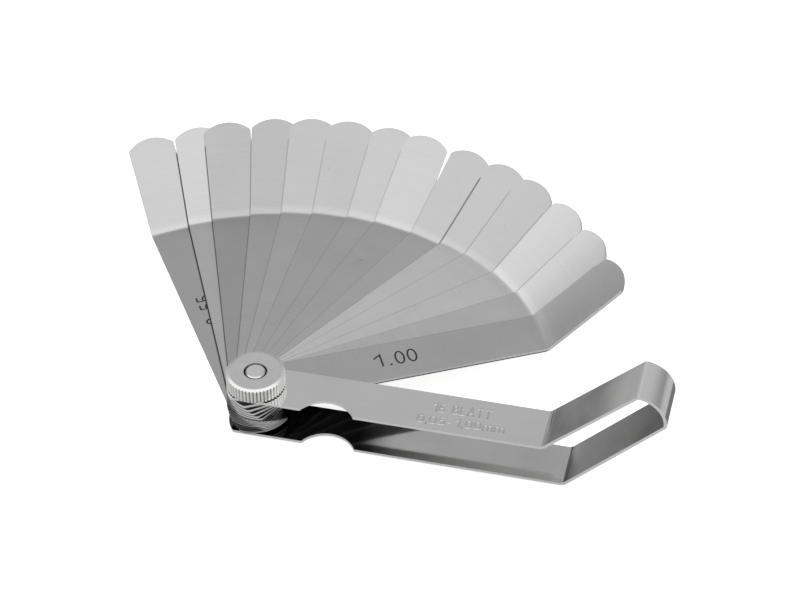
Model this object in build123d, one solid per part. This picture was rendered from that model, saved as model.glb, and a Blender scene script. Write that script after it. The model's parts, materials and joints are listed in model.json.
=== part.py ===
from build123d import *

import math
import os

# Bent-tip feeler gauge: sixteen flat steel blades with raised tips, fanned out on one
# pivot screw between the two cheeks of a folded sheet steel holder.
# Units are millimetres. +Z is up, +X runs along the holder from the pivot to its closed
# end. The origin is on the pivot axis, on the flat end of the screw's head, where the
# gauge touches a bench. The shapes below are first drawn with the lower cheek's underside
# at Z = 0, and make_parts lifts them by the height of the head.

# Width shared by the holder and the blades.
strip_width = 12.7
half_width = strip_width / 2
end_radius = 9.4            # shallow arc across the end of every strip
corner_radius = 0.9         # small rounding where that arc meets the long edges

# Holder, one strip folded into a U with both cheeks bent upwards.
holder_sheet = 0.8
holder_height = 12.2        # over both cheeks
holder_tail = 7.4           # from the pivot axis back to the end of each cheek
top_bend_x = 73.85          # crease of the upper cheek, on its upper face
bottom_bend_x = 79.7        # crease of the lower cheek, on its lower face
top_bend_angle = 44.0
bottom_bend_angle = 46.0
crease_radius = 1.9
nose_radius = 8.35          # outer face of the bowed wall that joins the two slopes
nose_along = 25.2           # centre of that bow, from the upper crease along the slope
nose_across = -5.4          # and square to the slope
nose_corner_radius = 1.5    # outside, where the bow meets the slopes

# Finger notch in the front edge of both cheeks.
notch_x = 19.7
notch_y = -10.1
notch_radius = 7.8

# Pivot screw, washer and knurled nut.
screw_diameter = 5.0
screw_end_chamfer = 0.3
head_diameter = 9.5
head_height = 1.2
head_edge_round = 0.5
slot_width = 1.2
slot_length = 6.8           # the slot stops short of the head's rim
slot_depth = 0.65
pivot_clearance = 0.05      # radial, in every hole that the screw passes through
washer_diameter = 10.0
washer_thickness = 0.83
nut_diameter = 14.9
nut_height = 4.15
nut_seat_gap = 0.05         # between the nut and the upper cheek
nut_foot_diameter = 13.4    # plain boss under the knurl
nut_foot_height = 0.25
nut_bevel_width = 0.9       # shallow bevel round the top
nut_bevel_drop = 0.35
nut_mouth_width = 0.43      # steep countersink round the screw
nut_mouth_depth = 0.8
knurl_count = 50
knurl_depth = 0.3
screw_proud = 0.12          # end of the screw above the nut

# Blades, from the top of the stack down: thickness and the azimuth each is fanned to.
blades = [
    (1.00, 28.0),
    (0.90, 36.5),
    (0.80, 45.0),
    (0.70, 53.5),
    (0.60, 60.0),
    (0.05, 59.7),
    (0.10, 59.4),
    (0.15, 67.5),
    (0.20, 76.0),
    (0.25, 82.0),
    (0.30, 89.5),
    (0.35, 96.0),
    (0.40, 102.5),
    (0.45, 110.5),
    (0.50, 115.5),
    (0.55, 123.5),
]
blade_gap = 0.15            # between the flat parts of neighbouring blades
blade_tip_gap = 0.05        # between their raised tips, square to the slope
top_blade_gap = 0.12        # between the top blade and the upper cheek
first_bend_radius = 74.4    # from the pivot axis to the top blade's crease
blade_angle = 39.0
blade_crease = 2.4          # radius inside the crease
tip_length = 26.3           # from the crease to the middle of the rounded end
blade_tail = 7.1            # from the pivot axis back to the blade's end
cutter_depth = 12.0         # half height of the prisms that trim each blade

hole_radius = screw_diameter / 2 + pivot_clearance
end_sagitta = end_radius - math.sqrt(end_radius**2 - half_width**2)


def blade_name(thickness):
    """Node name of a blade, such as blade_0_05 for 0.05 mm."""
    whole, hundredths = divmod(round(thickness * 100), 100)
    return f"blade_{whole}_{hundredths:02d}"


def rounded_end(start, end):
    """Strip outline from a square cut at x = start to a shallow arc whose middle is at x = end."""
    side = 1 if end > start else -1
    shoulder = end - side * end_sagitta
    edges = Polyline(
        (shoulder, -half_width), (start, -half_width), (start, half_width), (shoulder, half_width)
    )
    arc = ThreePointArc((shoulder, -half_width), (end, 0), (shoulder, half_width))
    outline = make_face([*edges.edges(), arc])
    corners = outline.vertices().sort_by(Axis.X, reverse=side < 0)[-2:]
    return fillet(corners, corner_radius)


def slope_point(origin, angle, along, across):
    """Point at a distance along and square to a slope that leaves origin at angle."""
    slope = math.radians(angle)
    return (
        origin[0] + along * math.cos(slope) - across * math.sin(slope),
        origin[1] + along * math.sin(slope) + across * math.cos(slope),
    )


def crossing(first, first_angle, second, second_angle):
    """Point where two lines in the XZ plane meet, each given by a point and its angle."""
    a = math.radians(first_angle)
    b = math.radians(second_angle)
    run_x = second[0] - first[0]
    run_z = second[1] - first[1]
    reach = (run_x * math.sin(b) - run_z * math.cos(b)) / math.sin(b - a)
    return (first[0] + reach * math.cos(a), first[1] + reach * math.sin(a))


def reach_circle(start, angle, centre, radius):
    """Far point where a line leaving start at angle crosses a circle."""
    slope = math.radians(angle)
    run_x = centre[0] - start[0]
    run_z = centre[1] - start[1]
    along = run_x * math.cos(slope) + run_z * math.sin(slope)
    across = run_z * math.cos(slope) - run_x * math.sin(slope)
    return slope_point(start, angle, along + math.sqrt(radius**2 - across**2), 0)


def holder_side(inset, start_x):
    """Side view of the holder filled in, shrunk by inset on every face, from x = start_x."""
    top_z = holder_height - inset
    outer_top = (top_bend_x, holder_height)
    outer_bottom = (bottom_bend_x, 0)
    top_slope = slope_point(outer_top, top_bend_angle, 0, -inset)
    bottom_slope = slope_point(outer_bottom, bottom_bend_angle, 0, inset)
    centre = slope_point(outer_top, top_bend_angle, nose_along, nose_across)
    radius = nose_radius - inset
    top_crease = crossing((start_x, top_z), 0, top_slope, top_bend_angle)
    bottom_crease = crossing((start_x, inset), 0, bottom_slope, bottom_bend_angle)
    nose_top = reach_circle(top_slope, top_bend_angle, centre, radius)
    nose_bottom = reach_circle(bottom_slope, bottom_bend_angle, centre, radius)
    nose_middle = slope_point(centre, top_bend_angle, radius, 0)
    straights = Polyline(
        nose_bottom, bottom_crease, (start_x, inset), (start_x, top_z), top_crease, nose_top
    )
    bow = ThreePointArc(nose_top, nose_middle, nose_bottom)
    side = make_face([*straights.edges(), bow])
    corners = [
        (top_crease, crease_radius + inset),
        (nose_top, nose_corner_radius - inset),
        (nose_bottom, nose_corner_radius - inset),
        (bottom_crease, crease_radius + holder_sheet - inset),
    ]
    for point, corner in corners:
        nearest = side.vertices().sort_by_distance(Vector(*point, 0))[0]
        side = fillet(nearest, corner)
    return side


def make_holder():
    """Folded U strip with rounded pivot ends, finger notches and pivot holes."""
    side = holder_side(0, -holder_tail) - holder_side(holder_sheet, -holder_tail - 1)
    strip = extrude(Plane.XZ * side, amount=half_width, both=True)
    reach = holder_height + cutter_depth
    plan = extrude(rounded_end(top_bend_x, -holder_tail), amount=reach, both=True)
    beyond = Pos(top_bend_x + 40, 0, 0) * Box(80, strip_width + 1, 8 * cutter_depth)
    notch = Pos(notch_x, notch_y, 0) * Cylinder(notch_radius, 2 * reach)
    pivot_hole = Cylinder(hole_radius, 2 * reach)
    return strip & (plan + beyond) - notch - pivot_hole


def make_screw():
    """Slotted low-head screw whose shank is the pivot, chamfered at its free end."""
    length = holder_height + nut_seat_gap + nut_height + screw_proud
    shank = extrude(Circle(screw_diameter / 2), amount=length)
    shank = chamfer(shank.faces().sort_by(Axis.Z)[-1].edges(), screw_end_chamfer)
    head = extrude(Circle(head_diameter / 2), amount=-head_height)
    head = fillet(head.faces().sort_by(Axis.Z)[0].edges(), head_edge_round)
    slot = Pos(0, 0, -head_height) * extrude(SlotOverall(slot_length, slot_width), amount=slot_depth)
    return head - slot + shank


def make_washer():
    """Plain spacer washer that lies on the lower cheek, under the blades."""
    ring = Circle(washer_diameter / 2) - Circle(hole_radius)
    return Pos(0, 0, holder_sheet) * extrude(ring, amount=washer_thickness)


def make_nut():
    """Round thumb nut: straight knurl, bevelled rim, countersunk mouth and a low boss below."""
    radius = nut_diameter / 2
    foot = nut_foot_diameter / 2
    groove = Rot(0, 0, 45) * Rectangle(knurl_depth * math.sqrt(2), knurl_depth * math.sqrt(2))
    grip = extrude(Circle(radius) - PolarLocations(radius, knurl_count) * groove, amount=nut_height)
    profile = Polyline(
        (0, 0),
        (foot, 0),
        (foot, nut_foot_height),
        (radius, nut_foot_height),
        (radius, nut_height - nut_bevel_drop),
        (radius - nut_bevel_width, nut_height),
        (0, nut_height),
        close=True,
    )
    turned = revolve(Plane.XZ * make_face(profile), axis=Axis.Z)
    mouth_place = Pos(0, 0, nut_height - nut_mouth_depth / 2)
    mouth = mouth_place * Cone(hole_radius, hole_radius + nut_mouth_width, nut_mouth_depth)
    body = (grip & turned) - Cylinder(hole_radius, 4 * nut_height) - mouth
    return Pos(0, 0, holder_height + nut_seat_gap) * body


def blade_side(thickness, top_z, bend_radius):
    """Side outline of the dish that a blade is cut from: flat disc, then raised brim."""
    crease = (bend_radius, top_z)
    rim = slope_point(crease, blade_angle, tip_length + 2, 0)
    under_rim = slope_point(crease, blade_angle, tip_length + 2, -thickness)
    under_centre = (0, top_z - thickness)
    under_crease = crossing(under_centre, 0, under_rim, blade_angle)
    upper = FilletPolyline((0, top_z), crease, rim, radius=blade_crease)
    lower = FilletPolyline(under_centre, under_crease, under_rim, radius=blade_crease + thickness)
    ends = [Line(upper @ 0, lower @ 0), Line(upper @ 1, lower @ 1)]
    return make_face([*upper.edges(), *lower.edges(), *ends])


def make_blade(thickness, top_z, bend_radius, azimuth):
    """Blade cut from a dish: a flat disc with a raised conical brim about the pivot axis.

    The tip is a slice of that cone, so that neighbours slide past each other. The flat
    stretch and its rounded tail are cut straight down, and the rounded end of the tip is
    cut square to the slope.
    """
    dish = revolve(Plane.XZ * blade_side(thickness, top_z, bend_radius), axis=Axis.Z)
    flat_outline = rounded_end(bend_radius + 1, -blade_tail)
    flat = Pos(0, 0, top_z) * extrude(flat_outline, amount=cutter_depth, both=True)
    tip_trim = extrude(rounded_end(-1, tip_length), amount=cutter_depth, both=True)
    tip = Pos(bend_radius, 0, top_z) * Rot(0, -blade_angle, 0) * tip_trim
    blade = dish & (flat + tip)
    return Rot(0, 0, azimuth) * (blade - Cylinder(hole_radius, 4 * holder_height))


def make_blades():
    """All blades by node name, stacked downwards from just below the upper cheek."""
    nodes = {}
    top_z = holder_height - holder_sheet - top_blade_gap
    bend_radius = first_bend_radius
    slope = math.radians(blade_angle)
    # Step outwards that turns the flat gap into the tip gap on the slope.
    pull_in = (blade_gap * math.cos(slope) - blade_tip_gap) / math.sin(slope)
    for thickness, azimuth in blades:
        nodes[blade_name(thickness)] = make_blade(thickness, top_z, bend_radius, azimuth)
        top_z -= thickness + blade_gap
        bend_radius += thickness * math.tan(slope / 2) - pull_in
    return nodes


def make_parts():
    """Every node of the gauge by name, lifted so that the screw's head stands on Z = 0."""
    fixed = {
        "holder": make_holder(),
        "pivot_screw": make_screw(),
        "spacer_washer": make_washer(),
        "knurled_nut": make_nut(),
    }
    nodes = {**fixed, **make_blades()}
    return {name: Pos(0, 0, head_height) * shape for name, shape in nodes.items()}


os.makedirs("parts", exist_ok=True)
for name, shape in make_parts().items():
    export_step(shape, f"parts/{name}.step")
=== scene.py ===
import json
import math

import bpy
import numpy as np
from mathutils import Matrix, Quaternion, Vector


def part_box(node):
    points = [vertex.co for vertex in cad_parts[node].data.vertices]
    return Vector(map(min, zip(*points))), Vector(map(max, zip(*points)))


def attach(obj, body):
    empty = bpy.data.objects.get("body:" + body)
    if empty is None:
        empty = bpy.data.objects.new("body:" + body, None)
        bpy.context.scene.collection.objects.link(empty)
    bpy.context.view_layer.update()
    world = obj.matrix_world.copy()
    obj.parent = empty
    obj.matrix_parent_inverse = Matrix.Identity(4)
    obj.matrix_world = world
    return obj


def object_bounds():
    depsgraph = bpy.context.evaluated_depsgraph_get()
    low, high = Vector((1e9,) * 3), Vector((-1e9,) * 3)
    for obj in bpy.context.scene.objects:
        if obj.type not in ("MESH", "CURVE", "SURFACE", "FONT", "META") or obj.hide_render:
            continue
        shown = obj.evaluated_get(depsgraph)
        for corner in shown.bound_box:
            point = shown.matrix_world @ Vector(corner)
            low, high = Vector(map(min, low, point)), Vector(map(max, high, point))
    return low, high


# Looks for a fanned-out feeler gauge: ground spring-steel blades with printed thicknesses,
# a satin nickel-plated holder with a stamped marking, and a turned and knurled thumb nut.
# Lengths are metres. +X runs along the holder, +Z is up, the pivot is the Z axis.
# A pair of places or of values is where a soft change begins and where it ends.

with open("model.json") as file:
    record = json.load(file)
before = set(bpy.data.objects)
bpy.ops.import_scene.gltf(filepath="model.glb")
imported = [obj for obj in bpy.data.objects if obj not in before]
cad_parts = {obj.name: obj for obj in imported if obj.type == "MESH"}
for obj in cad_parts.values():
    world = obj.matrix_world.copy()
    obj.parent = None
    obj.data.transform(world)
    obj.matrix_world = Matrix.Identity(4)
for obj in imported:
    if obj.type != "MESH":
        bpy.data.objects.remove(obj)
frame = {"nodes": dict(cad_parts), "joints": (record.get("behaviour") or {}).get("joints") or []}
cad_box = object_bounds()

MM = 0.001
HALF_WIDTH = 6.35 * MM      # of the holder and of every blade
NUT_GAP = 0.05 * MM         # under the nut, above the holder's upper cheek

# Printed thickness on each blade. Start is measured along the blade from the pivot, and base
# is the side distance of the letters' feet from the blade's middle line.
PRINT_START = 28.0 * MM
PRINT_BASE = -3.6 * MM
PRINT_PLACES = {            # blades whose print was placed differently
    "blade_1_00": (30.6 * MM, -1.6 * MM),
    "blade_0_55": (35.4 * MM, -1.8 * MM),
}
PRINT_HEIGHT = 4.3 * MM
PRINT_STROKE = 0.11         # stroke width as a share of the height
PRINT_THICKNESS = 0.012 * MM
PRINT_LIFT = 0.0024 * MM    # keeps the strokes' sides off the steel

# Two stamped lines on the upper cheek: words, start x and y, length, height, tilt in degrees.
STAMPED_LINES = [
    ("16 BLATT", 45.0 * MM, 0.1 * MM, 14.8 * MM, 2.8 * MM, 1.3),
    ("0,05-1,00mm", 42.3 * MM, -4.3 * MM, 21.6 * MM, 2.4 * MM, 2.0),
]
STAMP_STROKE = 0.2          # stroke width as a share of the height
STAMP_RISE = 0.07 * MM      # of the ridge along the middle of each stroke
STAMP_SINK = 0.004 * MM     # of the strokes' sides into the steel
LETTER_GAP = 0.24           # between letters, as a share of their height

# Noise cells per metre along X, Y and Z, for grain ground across a strip or rolled along it.
GRAIN_ACROSS = (9000.0, 260.0, 2000.0)
STREAKS_ACROSS = (1400.0, 40.0, 500.0)
GRAIN_ALONG = (260.0, 9000.0, 2000.0)
STREAKS_ALONG = (40.0, 1400.0, 500.0)
CLOUD_SCALE = 75.0
WARMTH = 0.995              # blue of every grey, as a share of its red and green

# Tones of the blades, flat stretch and raised tip, from the top of the stack down: partly each
# blade's own tone, partly painted light and shade for the way each flat and tip faces the lamps.
BLADE_TONES_AND_SHADE = {
    "blade_1_00": (0.60, 0.65),
    "blade_0_90": (0.74, 0.85),
    "blade_0_80": (0.86, 0.77),
    "blade_0_70": (0.87, 0.62),
    "blade_0_60": (0.87, 0.62),
    "blade_0_05": (0.60, 0.60),
    "blade_0_10": (0.60, 0.60),
    "blade_0_15": (0.66, 0.62),
    "blade_0_20": (0.63, 0.69),
    "blade_0_25": (0.63, 0.64),
    "blade_0_30": (0.62, 0.60),
    "blade_0_35": (0.65, 0.60),
    "blade_0_40": (0.61, 0.55),
    "blade_0_45": (0.54, 0.56),
    "blade_0_50": (0.70, 0.70),
    "blade_0_55": (0.60, 0.67),
}
EDGE_TONE = 0.92            # bright cut edges of the strips
SHADED_LEFT_EDGE_TONE = 0.45       # painted shade on the blades' left cut edges, seen from the pivot
DARK_EDGES = {"blade_0_50": 0.06, "blade_0_45": 0.10, "blade_0_60": 0.15}   # left edges with deeper painted shade
# Painted contact shadow: a thin dark line on each blade beside the edge of the blade above,
# strength and width.
CONTACT_SHADOW_LINES = {
    "blade_0_90": (0.25, 1.50 * MM),
    "blade_0_80": (0.25, 1.35 * MM),
    "blade_0_70": (0.25, 1.20 * MM),
    "blade_0_60": (0.25, 1.00 * MM),
    "blade_0_15": (0.60, 1.12 * MM),
    "blade_0_45": (0.45, 0.40 * MM),
    "blade_0_50": (0.70, 0.40 * MM),
    "blade_0_55": (0.80, 0.45 * MM),
}
# painted contact shadow on the other blades
OTHER_CONTACT_SHADOW_LINE = (0.25, 0.45 * MM)
CONTACT_SHADOW_BLUR = (0.02 * MM, 0.2 * MM)               # at its near side and at its far side
CONTACT_SHADOW_END = (90.5 * MM, 91.5 * MM)               # where the painted contact shadow ends, from the pivot
PIVOT_SHADE = (7.0 * MM, 9.0 * MM)                    # where the painted shade round the pivot, under the nut, thins out
BEND = (74.2 * MM, 75.3 * MM)                       # of the blades, from the pivot
SHADE_BAND = (BEND[0] - 4.0 * MM, BEND[0])           # painted shade before the bend
HIGHLIGHT_BAND_END = (BEND[1] + 0.4 * MM, BEND[1] + 1.6 * MM)   # painted highlight past the bend
RUBBED_SIDE = (HALF_WIDTH - 0.45 * MM, HALF_WIDTH)  # right side of a blade
EDGE_SHADOW = (0.3, 0.45)                           # up a cut edge, as shares of the thickness
SQUARE_ON = (0.25, 0.4)     # how far a face looks along an axis, from hardly to clearly
PATTERN_STEP = (0.37, 0.11, 0.0)                    # from one blade's noise to the next one's

# The holder's upper crease, its slope, and the bow of its nose.
CREASE_X = 73.85 * MM       # crease of the upper cheek, on its upper face
CREASE_Z = 13.4 * MM
SLOPE_ANGLE = math.radians(44.0)
NOSE_ALONG = 25.2 * MM      # centre of the nose's bow, along the slope from the crease
NOSE_ACROSS = -5.4 * MM     # and square to the slope
NOSE_MIDDLE = 7.95 * MM     # radius of the middle of the sheet round that bow

# Where the holder's finish and its painted shade change: heights, then distances from the pivot,
# up the slope from the upper crease, off the slope's upper face, and past the centre of the bow.
INSIDE_FLOOR = (1.6 * MM, 1.8 * MM)
# top of the painted shade on the inner floor
FLOOR_SHADE_TOP = (3.0 * MM, 3.4 * MM)
INSIDE_ROOF = (12.4 * MM, 12.8 * MM)
# where the painted shade round the pivot, inside the fold, ends
PIVOT_SHADE_END = (26.0 * MM, 36.0 * MM)
LOWER_CREASE = (79.5 * MM, 80.5 * MM)
SLOPE_START = (1.0 * MM, 2.5 * MM)
# end of the painted shade on the upper slope
SHADED_SLOPE_END = (17.0 * MM, 27.0 * MM)
# where the painted shade in the nose deepens, up the slope
INNER_SHADE = (6.0 * MM, 26.0 * MM)
UPPER_FACE = (-0.5 * MM, -0.3 * MM)
UNDER_UPPER_SHEET = (-1.1 * MM, -0.9 * MM)
LOWER_SHEET = (-9.0 * MM, -8.0 * MM)
NOSE_START = (0.0, 1.0 * MM)
NOSE_SKIN = (3.0 * MM, 6.5 * MM)
NOSE_WALL = (NOSE_MIDDLE - 0.1 * MM, NOSE_MIDDLE + 0.1 * MM)

# Turned pieces: distances from the pivot axis, and the height of the top of the knurl.
# bevel rubbed bright, and lighter still as a painted highlight
RUBBED_AND_LIT_BEVEL = (6.45 * MM, 6.75 * MM)
# the knurl's grooves and the mouth round the screw take painted shade
GROOVE_BOTTOM = (6.9 * MM, 7.0 * MM)
GROOVE_CREST = (7.2 * MM, 7.42 * MM)
KNURL_TOP = (17.1 * MM, 17.3 * MM)
MOUTH_START = (2.52 * MM, 2.54 * MM)
MOUTH_END = (2.9 * MM, 3.0 * MM)
RING_WAVE = 26000.0         # radians per metre of the tool's rings

# Studio
FLOOR_DROP = 0.05 * MM      # below the part's lowest point
FLOOR_REACH = 6.0
FLOOR_GLOW = 0.85           # seen by the camera alone
SKY_LIGHT = 0.50            # brightness of the surroundings overhead
HORIZON_LIGHT = 0.26        # and at the horizon
SKY_RISE = (0.05, 0.62)     # sine of a direction's elevation, about 3 to 38 degrees
SOFTBOX_PLACE = Vector((-0.35, -0.21, 0.62))
SOFTBOX_SIZE = (2.2, 1.08)
SOFTBOX_POWER = 3.4         # watts
CAMERA_PLACE = Vector((155.21, -457.91, 479.02)) * MM
CAMERA_TARGET = Vector((27.24, 40.22, 11.2)) * MM
CAMERA_ROLL = -1.23         # degrees
CAMERA_LENS = 120.56
CAMERA_SENSOR = 36.0


# Shader maths


class Wire:
    """An output socket of a board's nodes. Arithmetic on it adds Math nodes."""

    def __init__(self, board, socket):
        self.board = board
        self.socket = socket

    def maths(self, operation, *others):
        """A Math node on this wire and other values."""
        node = self.board.tree.nodes.new("ShaderNodeMath")
        node.operation = operation
        for place, value in enumerate((self, *others)):
            self.board.plug(node.inputs[place], value)
        return Wire(self.board, node.outputs[0])

    def __add__(self, other):
        return self.maths("ADD", other)

    __radd__ = __add__

    def __mul__(self, other):
        return self.maths("MULTIPLY", other)

    __rmul__ = __mul__

    def __sub__(self, other):
        return self.maths("SUBTRACT", other)

    def __rsub__(self, other):
        return -self + other

    def __neg__(self):
        return self.maths("MULTIPLY", -1.0)

    def __abs__(self):
        return self.maths("ABSOLUTE")

    def root(self):
        """The square root."""
        return self.maths("SQRT")

    def step(self, low, high):
        """0 below low, 1 above high, and a smooth rise between them."""
        return self.board.node(
            "MapRange", "Result", {"interpolation_type": "SMOOTHSTEP"},
            Value=self, From_Min=low, From_Max=high,
        )

    def between(self, rise, fall):
        """1 past the pair rise and before the pair fall, and 0 on both sides."""
        return self.step(*rise) * (1.0 - self.step(*fall))

    def swing(self, reach):
        """Noise with a mean of one half, made to swing about 0 over a reach."""
        return (self - 0.5) * reach

    def darker(self, where, by):
        """This value, less a share of it where a mask is 1."""
        return self * (1.0 - where * by)

    def lighter(self, where, by):
        """This value, plus a share of it where a mask is 1."""
        return self * (1.0 + where * by)


class Board:
    """The nodes of a material or a world, with the shader that they lead to."""

    def __init__(self, owner, shader):
        owner.use_nodes = True
        self.tree = owner.node_tree
        self.shader = self.tree.nodes[shader]

    def plug(self, target, value):
        """Link a wire to a socket, or set the socket to a plain value."""
        if isinstance(value, Wire):
            self.tree.links.new(value.socket, target)
        else:
            target.default_value = value

    def set(self, **values):
        """Set or link shader sockets; an underscore in a name stands for a space."""
        for name, value in values.items():
            self.plug(self.shader.inputs[name.replace("_", " ")], value)

    def node(self, kind, output, settings=None, **values):
        """Any node, from its type, the output wanted, its settings and its input values."""
        node = self.tree.nodes.new("ShaderNode" + kind)
        for name, value in (settings or {}).items():
            setattr(node, name, value)
        for name, value in values.items():
            self.plug(node.inputs[name.replace("_", " ")], value)
        return Wire(self, node.outputs[output])

    def axes(self, point):
        """The X, Y and Z of a point as three wires."""
        split = self.node("SeparateXYZ", "X", Vector=point).socket.node
        return [Wire(self, split.outputs[axis]) for axis in "XYZ"]


class Finish(Board):
    """One material built round a Principled shader."""

    def __init__(self, name, **constants):
        self.material = bpy.data.materials.new(name)
        super().__init__(self.material, "Principled BSDF")
        self.set(**constants)

    def place(self, turn=0.0, scale=(1, 1, 1), centre=(0, 0, 0)):
        """Object coordinates, turned about Z by -turn so that X runs along the piece."""
        lined = self.node(
            "Mapping", "Vector", {"vector_type": "TEXTURE"},
            Vector=self.node("TexCoord", "Object"), Location=centre, Rotation=(0, 0, turn),
        )
        return self.node("Mapping", "Vector", Vector=lined, Scale=scale)

    def facing(self):
        """The X, Y and Z of the surface's direction, as three wires."""
        return self.axes(self.node("TexCoord", "Normal"))

    def noise(self, point, scale, detail=2.0, roughness=0.5):
        """Fractal noise with a mean near one half."""
        return self.node(
            "TexNoise", "Fac", Vector=point, Scale=scale, Detail=detail, Roughness=roughness
        )

    def grey(self, value):
        """A grey colour whose brightness is a wire."""
        return self.node("CombineColor", "Color", Red=value, Green=value, Blue=value * WARMTH)

    def relief(self, height, strength, distance=0.02 * MM):
        """Normals pushed by a height between 0 and 1."""
        return self.node("Bump", "Normal", Height=height, Strength=strength, Distance=distance)


# Materials


def thickness_of(blade):
    """Thickness that a blade's name gives: blade_0_45 is 0.45 mm."""
    return float(blade.replace("blade_", "").replace("_", ".")) * MM


def ground_steel(blade, azimuth, azimuth_above, seed):
    """Ground strip steel: fine grain lines, faint clouds, small specks and bright cut edges.

    The grain is noise stretched across the strip. Clouds are wide noise. Specks are where a finer
    noise passes a high threshold. The tone changes at the bend, partly the blade's own tone and
    partly painted light, with a painted highlight in a lighter band just past the bend and painted
    shade in a darker band before it. Faces that stand upright are cut edges: hardly metallic, so
    that they scatter light, with a painted shadow on their lower third and painted shade on the
    left ones. Painted shade darkens the middle round the pivot, under the nut, and a thin line of
    painted contact shadow lies beside the edge of the blade above.
    """
    flat_tone, tip_tone = BLADE_TONES_AND_SHADE[blade]
    left_edge_shade = DARK_EDGES.get(blade, SHADED_LEFT_EDGE_TONE)
    shadow_strength, shadow_width = CONTACT_SHADOW_LINES.get(blade, OTHER_CONTACT_SHADOW_LINE)
    finish = Finish(blade + "_steel")
    shift = tuple(step * seed for step in PATTERN_STEP)
    grain = finish.noise(finish.place(azimuth, GRAIN_ACROSS, shift), 1.0, detail=3.0)
    streaks = finish.noise(finish.place(azimuth, STREAKS_ACROSS, shift), 1.0)
    flat_place = finish.place(azimuth, (1, 1, 0.35), shift)
    clouds = finish.noise(flat_place, CLOUD_SCALE, detail=3.0, roughness=0.55)
    specks = finish.noise(flat_place, 620.0, detail=1.0).step(0.79, 0.83)

    along, side, height = finish.axes(finish.place(azimuth))
    past_bend = along.step(*BEND)
    # painted highlight just past the bend and painted shade just before it
    highlight_band = past_bend * (1.0 - along.step(*HIGHLIGHT_BAND_END))
    shade_band = along.step(*SHADE_BAND) * (1.0 - past_bend)
    rubbed = (-side).step(*RUBBED_SIDE)
    # painted shade round the pivot, under the nut
    pivot_shade = 1.0 - (along * along + side * side).root().step(*PIVOT_SHADE)
    # painted contact shadow beside the left edge of the blade above
    along_above, side_above, _ = finish.axes(finish.place(azimuth_above))
    near_blur, far_blur = CONTACT_SHADOW_BLUR
    contact_shadow = (side_above - HALF_WIDTH).between(
        (-near_blur, 0.0), (shadow_width - far_blur, shadow_width)
    )
    contact_shadow = contact_shadow * (1.0 - along_above.step(*CONTACT_SHADOW_END))

    shade = 1.0 + clouds.swing(0.12) + grain.swing(0.10) + streaks.swing(0.06)
    shade = shade.darker(specks, by=0.22).lighter(rubbed, by=0.05)
    shade = shade * (1.0 + highlight_band * 0.10 - shade_band * 0.05)
    # flat and tip tones: partly the blade's own, partly painted light and shade
    shade = shade * (past_bend * (tip_tone - flat_tone) + flat_tone)
    shade = shade.darker(pivot_shade, by=0.85).darker(contact_shadow, by=shadow_strength)

    _, _, up = finish.facing()
    edge = 1.0 - abs(up).step(*SQUARE_ON)
    left = side.step(-MM, MM)
    shadow_start, shadow_end = (share * thickness_of(blade) for share in EDGE_SHADOW)
    lit = (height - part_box(blade)[0].z).step(shadow_start, shadow_end)
    # cut edges: painted shade on the left ones, and a painted shadow on the lower part of each
    edge_tone = (left * (left_edge_shade - EDGE_TONE) + EDGE_TONE) * (lit * 0.8 + 0.2)
    finish.set(
        Base_Color=finish.grey(shade * (1.0 - edge) + edge * edge_tone),
        Metallic=1.0 - edge * 0.8,
        Roughness=grain.swing(0.10) + clouds.swing(0.12) + 0.30 - rubbed * 0.05,
        Normal=finish.relief(grain * 0.7 + streaks * 0.3, 0.10),
    )
    return finish.material


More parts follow.
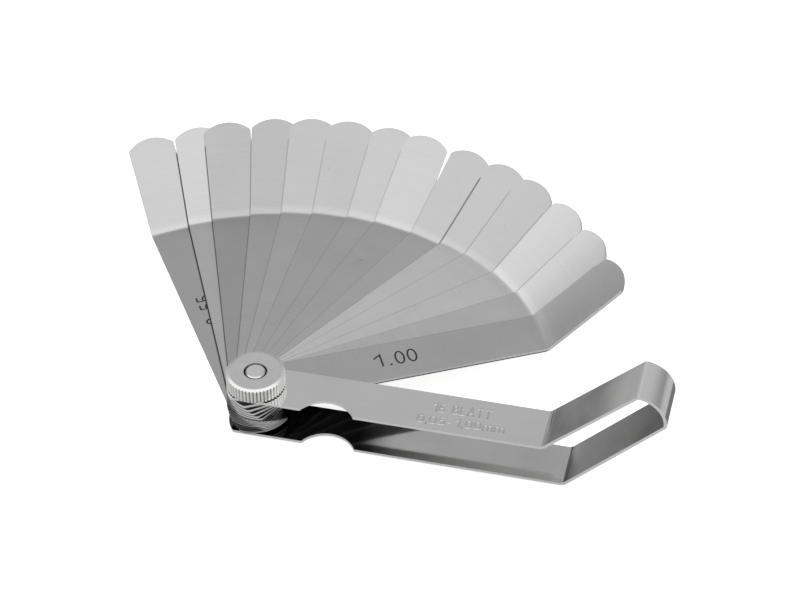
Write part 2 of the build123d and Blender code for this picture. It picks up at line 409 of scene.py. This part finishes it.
def plated_sheet(name, tone):
    """Plated sheet of the holder: near mirror, with rolled grain, clouds and blotches.

    The grain is noise stretched along the strip. Inside the fold the sheet is darkened with
    painted shade, most of all towards the pivot and in the nose. The upper slope is darker too,
    with painted shade for the dark things it mirrors. Lengths up and off the upper slope are
    turned coordinates, x cos a + z sin a and z cos a - x sin a, from the upper crease.
    Faces that look along Y are the strip's cut edges, which hardly shine.
    """
    finish = Finish(name)
    grain = finish.noise(finish.place(scale=GRAIN_ALONG), 1.0, detail=3.0)
    streaks = finish.noise(finish.place(scale=STREAKS_ALONG), 1.0)
    clouds = finish.noise(finish.place(), CLOUD_SCALE, detail=3.0, roughness=0.55)
    blotches = finish.noise(finish.place(), 120.0).step(0.3, 0.7)

    along, _, height = finish.axes(finish.place())
    cosine, sine = math.cos(SLOPE_ANGLE), math.sin(SLOPE_ANGLE)
    up_slope = (along - CREASE_X) * cosine + (height - CREASE_Z) * sine
    off_slope = (height - CREASE_Z) * cosine - (along - CREASE_X) * sine
    past_bow = up_slope - NOSE_ALONG
    off_bow = off_slope - NOSE_ACROSS
    bow_radius = (past_bow * past_bow + off_bow * off_bow).root()

    nose_skin = past_bow.step(*NOSE_SKIN)
    upper_slope = off_slope.step(*UPPER_FACE) * up_slope.step(*SLOPE_START)
    # painted shade on the upper slope, for the dark things it mirrors, with blotchy variation
    shaded_slope = upper_slope * (1.0 - up_slope.step(*SHADED_SLOPE_END))
    lower_slope = (1.0 - off_slope.step(*LOWER_SHEET)) * along.step(*LOWER_CREASE)
    inner_wall = past_bow.step(*NOSE_START) * (1.0 - bow_radius.step(*NOSE_WALL))
    inner_wall = inner_wall * (1.0 - off_slope.step(*UNDER_UPPER_SHEET))
    inner_slope = lower_slope.maths("MAXIMUM", inner_wall)
    # painted shade inside the fold: on the inner floor, round the pivot and in the nose
    floor_shade = height.between(INSIDE_FLOOR, FLOOR_SHADE_TOP)
    pivot_shade = height.between(INSIDE_FLOOR, INSIDE_ROOF) * (1.0 - along.step(*PIVOT_SHADE_END))

    shade = 1.0 + clouds.swing(0.12) + grain.swing(0.06) + streaks.swing(0.05)
    shade = shade.darker(shaded_slope, by=0.38 + blotches * 0.14).darker(pivot_shade, by=0.88)
    shade = shade.darker(floor_shade, by=0.20 + blotches * 0.06).lighter(nose_skin, by=0.10)
    shade = shade.darker(inner_slope, by=up_slope.step(*INNER_SHADE) * 0.62 + blotches * 0.1)

    _, front, _ = finish.facing()
    edge = abs(front).step(*SQUARE_ON)
    rough = 0.085 + grain.swing(0.05) + blotches.swing(0.02) + edge * 0.2
    finish.set(
        Base_Color=finish.grey(shade * tone * (1.0 - edge) + edge * EDGE_TONE),
        Metallic=1.0 - edge * 0.9,
        Roughness=rough + lower_slope * 0.25 + nose_skin * 0.14 + upper_slope * 0.22,
        Normal=finish.relief(grain * 0.7 + streaks * 0.3, 0.05),
    )
    return finish.material


def turned_steel(name, tone, roughness):
    """Turned, plated steel: rings about the pivot axis from the tool, with faint clouds.

    The rings are a sine of the distance from the Z axis plus the height, broken up by noise.
    Painted shade darkens the grooves of the knurl, under the bevel, and the mouth round the screw.
    The bevel is lighter, partly rubbed bright and partly a painted highlight.
    """
    finish = Finish(name, Metallic=1.0)
    point = finish.place()
    x, y, z = finish.axes(point)
    radius = (x * x + y * y).root()
    wobble = finish.noise(point, 900.0)
    wave = radius * RING_WAVE + z * RING_WAVE + wobble * 4.0
    rings = (wave.maths("SINE") + 1.0) * 0.5
    clouds = finish.noise(point, 260.0, detail=3.0)
    # bevel and collar lighter: rubbed wear and a painted highlight
    bevel = radius.step(*RUBBED_AND_LIT_BEVEL)
    # painted shade in the knurl's grooves and in the mouth round the screw
    grooves = radius.between(GROOVE_BOTTOM, GROOVE_CREST) * (1.0 - z.step(*KNURL_TOP))
    mouth = radius.between(MOUTH_START, MOUTH_END)
    shade = 1.0 + clouds.swing(0.16) + rings.swing(0.05) + bevel * 0.2
    shade = shade.darker(grooves, by=0.5).darker(mouth, by=0.75)
    finish.set(
        Base_Color=finish.grey(shade * tone),
        Roughness=clouds.swing(0.16) + roughness + rings * 0.03,
        Normal=finish.relief(rings * 0.6 + wobble * 0.4, 0.10),
    )
    return finish.material


def printing_ink():
    """Black etched print: matt, a little uneven in tone."""
    finish = Finish("printing_ink", Metallic=0.0, Specular_IOR_Level=0.25)
    mottle = finish.noise(finish.place(), 2600.0)
    finish.set(Base_Color=finish.grey(mottle * 0.05 + 0.012), Roughness=mottle * 0.2 + 0.45)
    return finish.material


def studio_floor():
    """Pale paper with a very faint fibre. Its glow reaches the camera and lights nothing."""
    finish = Finish("studio_floor", Roughness=0.9, Specular_IOR_Level=0.1)
    fibre = finish.noise(finish.place(), 300.0, detail=3.0)
    seen = finish.node("LightPath", "Is Camera Ray")
    finish.set(
        Base_Color=finish.grey(fibre * 0.02 + 0.74),
        Emission_Color=finish.grey((fibre * 0.01 + 1.0) * seen),
        Emission_Strength=FLOOR_GLOW,
    )
    return finish.material


# Shapes of figures and letters


def arc(centre, size, start, end, steps=14):
    """Points along an ellipse's arc: centre + size * (cos, sin), between two angles in degrees."""
    angle = np.radians(np.linspace(start, end, steps))
    return np.stack([centre[0] + size[0] * np.cos(angle), centre[1] + size[1] * np.sin(angle)], 1)


def ring(centre, size, steps=28):
    """A closed stroke round an ellipse: its points, and that it closes."""
    return arc(centre, size, 0.0, 360.0 - 360.0 / steps, steps), True


def run(*parts):
    """An open stroke through single points and arcs, joined by straight lines."""
    return np.concatenate([np.reshape(part, (-1, 2)) for part in parts]), False


def letter_strokes():
    """Width of each figure and letter, and its strokes: middle line, and whether it closes.

    Heights run from 0 at the feet to 1 at the top.
    """
    hook = arc((0.42, 0.3), (0.42, 0.7), 180, 95)
    hump = arc((0.19, 0.48), (0.19, 0.2), 180, 0)
    return {
        "0": (0.5, [ring((0.25, 0.5), (0.25, 0.5))]),
        "1": (0.42, [run((0.0, 0.72), (0.42, 1.0), (0.42, 0.0))]),
        "2": (0.5, [run(arc((0.25, 0.72), (0.24, 0.28), 165, -35), (0.0, 0.0), (0.5, 0.0))]),
        "3": (0.5, [
            run(arc((0.23, 0.755), (0.21, 0.245), 150, -90)),
            run(arc((0.23, 0.255), (0.27, 0.255), 90, -150)),
        ]),
        "4": (0.52, [run((0.52, 0.28), (0.0, 0.28), (0.38, 1.0), (0.38, 0.0))]),
        "5": (0.5, [
            run((0.46, 1.0), (0.1, 1.0), (0.04, 0.5), arc((0.23, 0.33), (0.27, 0.33), 125, -140)),
        ]),
        "6": (0.5, [run(hook), ring((0.25, 0.26), (0.25, 0.26))]),
        "7": (0.48, [run((0.0, 1.0), (0.48, 1.0), (0.14, 0.0))]),
        "8": (0.5, [ring((0.25, 0.745), (0.21, 0.255)), ring((0.25, 0.26), (0.25, 0.26))]),
        "9": (0.5, [run((0.5, 1.0) - hook), ring((0.25, 0.74), (0.25, 0.26))]),
        ".": (0.38, [ring((0.26, 0.04), (0.02, 0.02))]),
        ",": (0.05, [run((0.06, 0.12), (0.0, -0.16))]),
        "-": (0.36, [run((0.0, 0.42), (0.36, 0.42))]),
        " ": (0.3, []),
        "A": (0.6, [run((0.0, 0.0), (0.3, 1.0), (0.6, 0.0)), run((0.12, 0.34), (0.48, 0.34))]),
        "B": (0.5, [
            run((0.0, 0.0), (0.0, 1.0)),
            run((0.0, 0.52), arc((0.25, 0.26), (0.25, 0.26), 90, -90), (0.0, 0.0)),
            run((0.0, 1.0), arc((0.2, 0.76), (0.22, 0.24), 90, -90), (0.0, 0.52)),
        ]),
        "L": (0.46, [run((0.0, 1.0), (0.0, 0.0), (0.46, 0.0))]),
        "T": (0.56, [run((0.0, 1.0), (0.56, 1.0)), run((0.28, 1.0), (0.28, 0.0))]),
        "m": (0.76, [
            run((0.0, 0.0), (0.0, 0.68)),
            run(hump, (0.38, 0.0)),
            run(hump + (0.38, 0.0), (0.76, 0.0)),
        ]),
    }


def stroke_sides(line, closed, width):
    """The two sides of a stroke of even width: each point of its middle line gives one to each.

    The side direction at a point is square to the mean of the courses into it and out of it.
    It is lengthened where the line turns, so that the stroke keeps its width, up to a limit.
    """
    before = np.roll(line, 1, axis=0)
    after = np.roll(line, -1, axis=0)
    if not closed:
        before[0] = 2 * line[0] - line[1]
        after[-1] = 2 * line[-1] - line[-2]
    inwards = line - before
    onwards = after - line
    inwards /= np.linalg.norm(inwards, axis=1, keepdims=True)
    onwards /= np.linalg.norm(onwards, axis=1, keepdims=True)
    course = inwards + onwards
    course /= np.linalg.norm(course, axis=1, keepdims=True)
    sharpest = 0.35
    lean = np.maximum((course * onwards).sum(axis=1, keepdims=True), sharpest)
    sideways = np.stack([-course[:, 1], course[:, 0]], 1) * width / 2 / lean
    return line - sideways, line + sideways


def written(words, stroke):
    """Points, faces and length of a line of words, written from (0, 0) with letters of height 1.

    Each stroke is a low roof: its sides lie at height 0 and its middle line at height 1.
    """
    letters = letter_strokes()
    points, faces, pen, count = [], [], 0.0, 0
    for letter in words:
        width, strokes = letters[letter]
        for line, closed in strokes:
            line = line + (pen, 0.0)
            right, left = stroke_sides(line, closed, stroke)
            for row, height in ((right, 0.0), (line, 1.0), (left, 0.0)):
                points.append(np.column_stack([row, np.full(len(row), height)]))
            first = np.arange(len(line) if closed else len(line) - 1)
            after = (first + 1) % len(line)
            for low in (count, count + len(line)):
                high = low + len(line)
                faces.append(np.stack([first + low, after + low, after + high, first + high], 1))
            count += 3 * len(line)
        pen += width + LETTER_GAP
    return np.concatenate(points), np.concatenate(faces).tolist(), pen - LETTER_GAP


# Pieces


def new_object(name, points, faces, material):
    """An object at the origin, from arrays of points and a list of faces."""
    mesh = bpy.data.meshes.new(name)
    mesh.from_pydata(points.tolist(), [], faces)
    mesh.update()
    mesh.materials.append(material)
    piece = bpy.data.objects.new(name, mesh)
    bpy.context.scene.collection.objects.link(piece)
    return piece


def turned_about_z(points, angle):
    """Rotate points about the Z axis: x cos - y sin, x sin + y cos."""
    cosine, sine = math.cos(angle), math.sin(angle)
    return points @ np.array([[cosine, sine, 0.0], [-sine, cosine, 0.0], [0.0, 0.0, 1.0]])


def blade_print(blade, azimuth, ink):
    """The thickness printed on a blade, such as 0.45, a hair above its flat stretch.

    The words are enlarged to the print's height, laid along the blade, and turned about the
    pivot to the blade's azimuth.
    """
    words = blade.replace("blade_", "").replace("_", ".")
    start, base = PRINT_PLACES.get(blade, (PRINT_START, PRINT_BASE))
    points, faces, _ = written(words, PRINT_STROKE)
    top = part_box(blade)[0].z + thickness_of(blade) + PRINT_LIFT
    points = points * (PRINT_HEIGHT, PRINT_HEIGHT, PRINT_THICKNESS) + (start, base, top)
    name = blade.replace("blade", "print")
    piece = new_object(name, turned_about_z(points, azimuth), faces, ink)
    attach(piece, blade)


def stamped_line(name, words, x, y, length, height, tilt, material, top):
    """One stamped line on the upper cheek: ridged strokes, a hair proud."""
    points, faces, span = written(words, STAMP_STROKE)
    points = points * (length / span, height, STAMP_RISE)
    points = turned_about_z(points, math.radians(tilt)) + (x, y, top - STAMP_SINK)
    piece = new_object(name, points, faces, material)
    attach(piece, "holder")


def give(node, material):
    """Put one material on a CAD node."""
    mesh = frame["nodes"][node].data
    mesh.materials.clear()
    mesh.materials.append(material)


# A blade's lower limit folds it in along +X, so its azimuth at rest is that angle turned back.
azimuths = {
    joint["child"]: -math.radians(joint["range_deg"][0])
    for joint in frame["joints"]
    if "range_deg" in joint
}
holder_steel = plated_sheet("holder_steel", 0.83)
stamped_steel = plated_sheet("stamped_steel", 0.68)
nut_steel = turned_steel("nut_steel", 0.82, 0.26)
screw_steel = turned_steel("screw_steel", 0.90, 0.22)
ink = printing_ink()

give("holder", holder_steel)
give("knurled_nut", nut_steel)
give("pivot_screw", screw_steel)
give("spacer_washer", screw_steel)
stack = list(azimuths)      # from the top down
for order, (blade, azimuth) in enumerate(azimuths.items()):
    # The two thinnest blades lie hidden, so the one seen above blade_0_15 is blade_0_60. No blade
    # lies above the top one, and its own azimuth keeps the painted contact shadow off its face.
    above = "blade_0_60" if blade == "blade_0_15" else stack[max(order - 1, 0)]
    give(blade, ground_steel(blade, azimuth, azimuths[above], seed=1.0 + order))
    blade_print(blade, azimuth, ink)

cheek_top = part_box("knurled_nut")[0].z - NUT_GAP
for number, line in enumerate(STAMPED_LINES, 1):
    stamped_line(f"stamped_line_{number}", *line, stamped_steel, cheek_top)


# Studio: floor, light, camera and surroundings


def floor():
    """Round floor whose rings grow with the square of their number."""
    rings = 24
    sides = 96
    radius = FLOOR_REACH * (np.arange(1, rings + 1) / rings) ** 2
    angle = np.linspace(0, 2 * math.pi, sides, endpoint=False)
    level = cad_box[0].z - FLOOR_DROP
    x, y = np.outer(radius, np.cos(angle)), np.outer(radius, np.sin(angle))
    grid = np.stack([x, y, np.full_like(x, level)], axis=2)
    points = np.concatenate([[(0.0, 0.0, level)], grid.reshape(-1, 3)])
    first = 1 + np.arange(sides)
    after = 1 + (np.arange(sides) + 1) % sides
    middle = np.stack([np.zeros_like(first), first, after], 1)
    start = sides * np.arange(rings - 1)[:, None]
    quads = [first + start, first + start + sides, after + start + sides, after + start]
    faces = middle.tolist() + np.stack(quads, 2).reshape(-1, 4).tolist()
    new_object("floor", points, faces, studio_floor())


def softbox():
    """Wide rectangular light that shines straight down."""
    lamp = bpy.data.lights.new("overhead_softbox", "AREA")
    lamp.shape = "RECTANGLE"
    lamp.size, lamp.size_y = SOFTBOX_SIZE
    lamp.energy = SOFTBOX_POWER
    box = bpy.data.objects.new("overhead_softbox", lamp)
    box.location = SOFTBOX_PLACE
    bpy.context.scene.collection.objects.link(box)


def camera():
    """The scene's camera, aimed along its line of sight and then rolled."""
    lens = bpy.data.cameras.new("camera")
    lens.sensor_width = CAMERA_SENSOR
    lens.lens = CAMERA_LENS
    lens.clip_start = 0.01
    lens.clip_end = 50.0
    eye = bpy.data.objects.new("camera", lens)
    eye.location = CAMERA_PLACE
    eye.rotation_mode = "QUATERNION"
    aim = (CAMERA_TARGET - CAMERA_PLACE).to_track_quat("-Z", "Y")
    eye.rotation_quaternion = aim @ Quaternion((0, 0, 1), math.radians(CAMERA_ROLL))
    bpy.context.scene.collection.objects.link(eye)
    bpy.context.scene.camera = eye


def surroundings():
    """Plain grey all round that gets darker towards the horizon and stays so below it."""
    world = bpy.data.worlds.new("studio")
    sky = Board(world, "Background")
    _, _, height = sky.axes(sky.node("TexCoord", "Generated"))
    glow = height.step(*SKY_RISE) * (SKY_LIGHT - HORIZON_LIGHT) + HORIZON_LIGHT
    sky.set(Color=(1, 1, 1, 1), Strength=glow)
    bpy.context.scene.world = world


floor()
softbox()
camera()
surroundings()
bpy.context.scene.view_settings.view_transform = "Standard"
